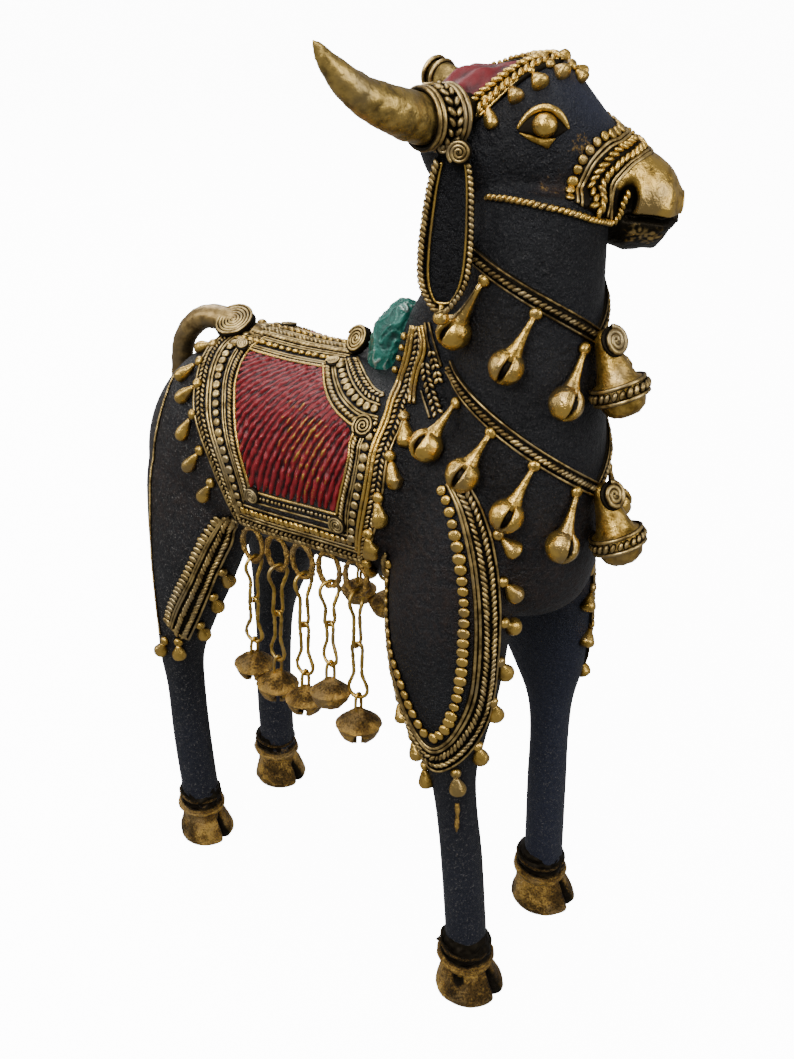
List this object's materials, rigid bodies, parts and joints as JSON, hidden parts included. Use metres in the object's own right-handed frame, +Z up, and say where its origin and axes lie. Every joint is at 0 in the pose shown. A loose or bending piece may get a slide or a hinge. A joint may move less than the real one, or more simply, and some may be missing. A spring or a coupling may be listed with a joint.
{
  "type": "nandi bull figure",
  "caption": "Standing bull with turned head, swept horn, saddle cloth, bead necklaces and small bells hanging on chains, cast in dark brass.",
  "frame": {"origin": "bottom centre of the whole figure, on the plane the hooves stand on", "axes": "+X from tail to chest, +Y to the bull's left, +Z up"},
  "size_m": [0.2156, 0.1176, 0.3634],
  "materials": {
    "casting": "black patina with polished raised bands, red and green painted fields",
    "chain_wire": "worn wire",
    "bells": "rough cast, worn on the rim"
  },
  "bodies": {
    "root": {"bull_casting": "casting", "right_upper_link_1": "chain_wire", "right_lower_link_1": "chain_wire", "right_bell_1": "bells", "right_upper_link_2": "chain_wire", "right_lower_link_2": "chain_wire", "right_bell_2": "bells", "right_upper_link_3": "chain_wire", "right_lower_link_3": "chain_wire", "right_bell_3": "bells", "right_upper_link_4": "chain_wire", "right_lower_link_4": "chain_wire", "right_bell_4": "bells", "right_upper_link_5": "chain_wire", "right_lower_link_5": "chain_wire", "right_bell_5": "bells", "left_upper_link_1": "chain_wire", "left_lower_link_1": "chain_wire", "left_bell_1": "bells", "left_upper_link_2": "chain_wire", "left_lower_link_2": "chain_wire", "left_bell_2": "bells", "left_upper_link_3": "chain_wire", "left_lower_link_3": "chain_wire", "left_bell_3": "bells", "left_upper_link_4": "chain_wire", "left_lower_link_4": "chain_wire", "left_bell_4": "bells", "left_upper_link_5": "chain_wire", "left_lower_link_5": "chain_wire", "left_bell_5": "bells"}
  },
  "joints": []
}
